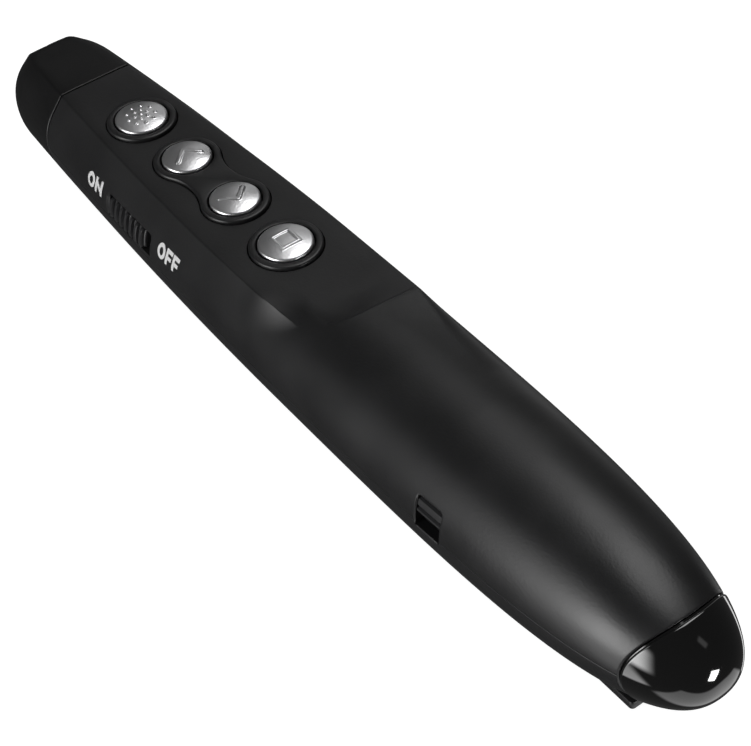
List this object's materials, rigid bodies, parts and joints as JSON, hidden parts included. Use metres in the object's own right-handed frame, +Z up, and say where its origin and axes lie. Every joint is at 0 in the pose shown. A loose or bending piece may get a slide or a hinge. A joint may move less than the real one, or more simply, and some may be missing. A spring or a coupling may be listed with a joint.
{
  "type": "wireless presentation clicker",
  "caption": "Pen-shaped presentation remote with round push buttons, a side slide switch, a laser port in the nose and a USB receiver that pulls out of the tail.",
  "frame": {"origin": "on the surface it rests on, under the middle of its length and width", "axes": "+X towards the tail with the USB receiver, -X towards the laser nose, +Y towards the side without the slide switch, +Z up out of the button panel"},
  "size_m": [0.1406, 0.0228, 0.0214],
  "materials": {
    "black_plastic": "fine matte texture",
    "nose_plastic": "satin",
    "panel_plastic": "satin",
    "gloss_black": "high gloss",
    "button_silver": "satin silver",
    "switch_black": "satin",
    "window": "polished",
    "lens": "polished",
    "brass": "turned",
    "board": "solder mask",
    "component": "moulded",
    "nickel": "nickel plated",
    "steel": "plain",
    "cell": "printed sleeve",
    "tongue": "moulded"
  },
  "bodies": {
    "body": {"upper_shell": "black_plastic", "lower_shell": "black_plastic", "nose_cap": "nose_plastic", "laser_window": "window", "laser_barrel": "brass", "laser_lens": "lens", "laser_board": "board", "button_surround": "panel_plastic", "tact_switches": "component", "main_board": "board", "radio_chip": "component", "crystal": "steel", "power_switch": "steel", "lanyard_eye": "black_plastic", "battery": "cell", "battery_spring": "nickel", "spring_plate": "nickel", "contact_plate": "nickel", "receiver_dock": "component", "shell_screws": "steel"},
    "laser_key": {"laser_button": "button_silver", "laser_plunger": "component"},
    "forward_key": {"forward_button": "button_silver", "forward_plunger": "component"},
    "back_key": {"back_button": "button_silver", "back_plunger": "component"},
    "screen_key": {"screen_button": "button_silver", "screen_plunger": "component"},
    "power_slider": {"switch_knob": "switch_black", "switch_slider": "component"},
    "door": {"battery_door": "black_plastic", "clip_pin": "steel"},
    "clip": {"pocket_clip": "black_plastic"},
    "receiver": {"receiver_cap": "gloss_black", "receiver_base": "black_plastic", "receiver_plug": "nickel", "receiver_tongue": "tongue", "receiver_board": "board"}
  },
  "joints": [
    {"name": "laser_press", "type": "slide", "parent": "body", "child": "laser_key", "axis": [0, 0, -1], "range_m": [0, 0.0004], "stiffness_N_per_m": 1500},
    {"name": "forward_press", "type": "slide", "parent": "body", "child": "forward_key", "axis": [0, 0, -1], "range_m": [0, 0.0004], "stiffness_N_per_m": 1500},
    {"name": "back_press", "type": "slide", "parent": "body", "child": "back_key", "axis": [0, 0, -1], "range_m": [0, 0.0004], "stiffness_N_per_m": 1500},
    {"name": "screen_press", "type": "slide", "parent": "body", "child": "screen_key", "axis": [0, 0, -1], "range_m": [0, 0.0004], "stiffness_N_per_m": 1500},
    {"name": "power_slide", "type": "slide", "parent": "body", "child": "power_slider", "axis": [1, 0, 0], "range_m": [0, 0.0015]},
    {"name": "receiver_pull", "type": "slide", "parent": "body", "child": "receiver", "axis": [1, 0, 0], "range_m": [0, 0.016]},
    {"name": "door_swing", "type": "hinge", "parent": "body", "child": "door", "pos_m": [0.0012, 0, 0.00296], "axis": [0, 1, 0], "range_deg": [0, 45]},
    {"name": "clip_flex", "type": "hinge", "parent": "door", "child": "clip", "pos_m": [0.0044, 0, 0.00095], "axis": [0, 1, 0], "range_deg": [0, 8], "stiffness_Nm_per_rad": 1.5}
  ]
}
